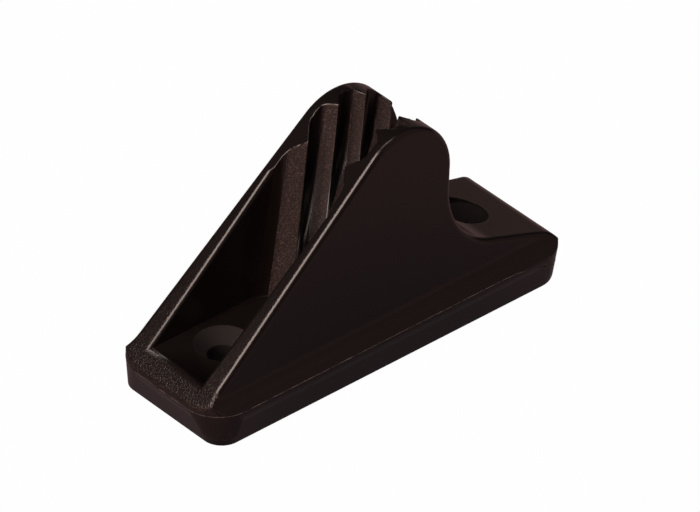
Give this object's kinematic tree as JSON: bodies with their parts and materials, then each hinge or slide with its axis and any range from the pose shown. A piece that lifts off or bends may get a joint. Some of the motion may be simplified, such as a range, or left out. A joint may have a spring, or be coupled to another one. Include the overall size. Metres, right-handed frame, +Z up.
{
  "type": "jam cleat",
  "caption": "Moulded jam cleat: a sloping open channel leads line into a toothed V slot, over a flat foot with countersunk screw holes.",
  "frame": {"origin": "centre of the flat mounting face, on the surface that the cleat is screwed to", "axes": "+X from the nose, where the line enters, to the tail; +Y across the channel; +Z up, away from the mounting face"},
  "size_m": [0.066, 0.023, 0.0353],
  "materials": {
    "moulding": "satin to gloss black moulding with a fine spark-eroded texture on the sloping top faces"
  },
  "bodies": {
    "root": {"cleat_body": "moulding"}
  },
  "joints": []
}
